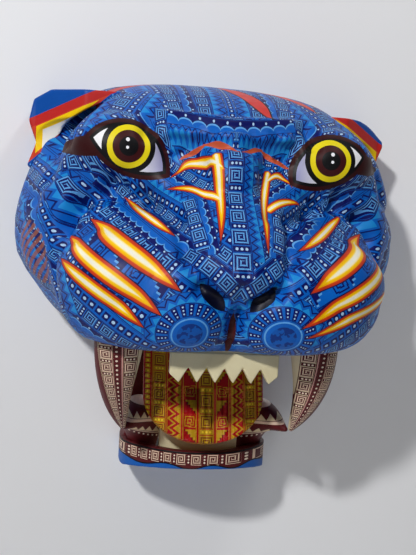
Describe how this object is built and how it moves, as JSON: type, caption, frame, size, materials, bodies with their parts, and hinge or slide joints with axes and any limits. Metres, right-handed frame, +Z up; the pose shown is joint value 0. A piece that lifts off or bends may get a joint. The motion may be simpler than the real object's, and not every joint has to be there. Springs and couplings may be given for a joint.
{
  "type": "carved wild-cat wall mask",
  "caption": "Carved wooden wall mask of a wild cat with open fanged mouth, tongue and jaw, painted all over, hung by a ring at its back.",
  "frame": {"origin": "nail point in the eye of the hanging ring, in the wall plane", "axes": "+Z up, +Y into the wall, +X to the viewer's right"},
  "size_m": [0.3294, 0.211, 0.334],
  "materials": {
    "head_paint": "satin acrylic paint over sanded wood",
    "ear_paint": "satin acrylic paint over sanded wood",
    "tongue_paint": "satin acrylic paint over sanded wood",
    "tooth_paint": "satin acrylic paint over sanded wood",
    "fang_paint": "satin acrylic paint over sanded wood",
    "jaw_paint": "satin acrylic paint over sanded wood",
    "peg_wood": "bare",
    "hanger_steel": "zinc plated",
    "screw_steel": "zinc plated"
  },
  "bodies": {
    "root": {"head_shell": "head_paint", "left_ear": "ear_paint", "right_ear": "ear_paint", "ear_pegs": "peg_wood", "tongue": "tongue_paint", "tongue_pegs": "peg_wood", "upper_incisors": "tooth_paint", "upper_incisor_pegs": "peg_wood", "left_upper_fang": "fang_paint", "right_upper_fang": "fang_paint", "upper_fang_pegs": "peg_wood", "lower_jaw": "jaw_paint", "jaw_pegs": "peg_wood", "lower_incisors": "tooth_paint", "lower_incisor_pegs": "peg_wood", "left_lower_fang": "fang_paint", "right_lower_fang": "fang_paint", "lower_fang_pegs": "peg_wood", "hanger_plate": "hanger_steel", "hanger_screws": "screw_steel"},
    "ring": {"hanger_ring": "hanger_steel"}
  },
  "joints": [
    {"name": "ring_hinge", "type": "hinge", "parent": "root", "child": "ring", "pos_m": [0, -0.0032, -0.0175], "axis": [-1, 0, 0], "range_deg": [0, 165]}
  ]
}
